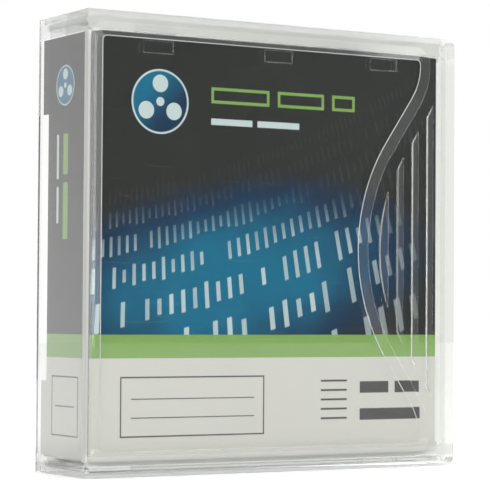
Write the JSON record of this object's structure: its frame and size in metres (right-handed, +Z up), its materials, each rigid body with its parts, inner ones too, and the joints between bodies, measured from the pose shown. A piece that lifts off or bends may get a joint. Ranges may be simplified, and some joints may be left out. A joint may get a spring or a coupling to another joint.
{
  "type": "data tape cartridge in a storage case",
  "caption": "Single-reel data tape cartridge in its clear hinged storage case with a printed inlay card; the cover opens and the door, brake, reel and write-protect tab move.",
  "frame": {"origin": "centre of the closed case's bounding box, on its bottom edge, which it stands on", "axes": "+X to the right along the front, +Y to the back of the case, +Z up along its longest extent; the spine is at -X and the cover's front at -Y"},
  "size_m": [0.1094, 0.028, 0.1135],
  "materials": {
    "clear_cover": "clear moulded polystyrene, glossy",
    "clear_base": "clear moulded polystyrene, glossy",
    "card": "printed card, satin: charcoal, blue, green and pale grey fields",
    "shell": "dark moulded shell, fine texture",
    "reel_plastic": "natural white moulding",
    "tape": "wound dark film edge, satin",
    "steel": "plain steel",
    "brake_plastic": "coloured moulding",
    "door_plastic": "dark moulding",
    "tab_plastic": "red moulding",
    "chip": "coated circuit board"
  },
  "bodies": {
    "base": {"case_base": "clear_base", "shell_upper": "shell", "shell_lower": "shell", "shell_screws": "steel", "leader_pin": "steel", "pin_clip": "reel_plastic", "pin_spring": "steel", "leader_tape": "tape", "door_spring": "steel", "brake_spring": "steel", "memory_chip": "chip"},
    "cover": {"case_cover": "clear_cover", "inlay_card": "card"},
    "door": {"tape_door": "door_plastic"},
    "reel": {"reel_hub": "reel_plastic", "reel_flange": "reel_plastic", "tape_pack": "tape", "drive_plate": "steel"},
    "brake": {"brake_button": "brake_plastic"},
    "release": {"release_pad": "brake_plastic"},
    "write_tab": {"write_protect_tab": "tab_plastic"}
  },
  "joints": [
    {"name": "cover_hinge", "type": "hinge", "parent": "base", "child": "cover", "pos_m": [-0.05075, 0.01, 0], "axis": [0, 0, -1], "range_deg": [0, 90]},
    {"name": "door_slide", "type": "slide", "parent": "base", "child": "door", "axis": [0, 0, -1], "range_m": [0, 0.0125], "stiffness_N_per_m": 30, "springref_m": -0.01, "deforming": ["door_spring"]},
    {"name": "reel_spin", "type": "hinge", "parent": "base", "child": "reel", "pos_m": [-0.0012, 0, 0.05405], "axis": [0, 1, 0], "continuous": true},
    {"name": "brake_slide", "type": "slide", "parent": "base", "child": "brake", "axis": [0, -1, 0], "range_m": [0, 0.002], "stiffness_N_per_m": 800, "springref_m": -0.006, "deforming": ["brake_spring"]},
    {"name": "release_slide", "type": "slide", "parent": "reel", "child": "release", "axis": [0, -1, 0], "range_m": [0, 0.002]},
    {"name": "write_tab_slide", "type": "slide", "parent": "base", "child": "write_tab", "axis": [1, 0, 0], "range_m": [0, 0.005]}
  ],
  "couplings": [
    {"joint": "release_slide", "follows": "brake_slide", "ratio": 1}
  ]
}
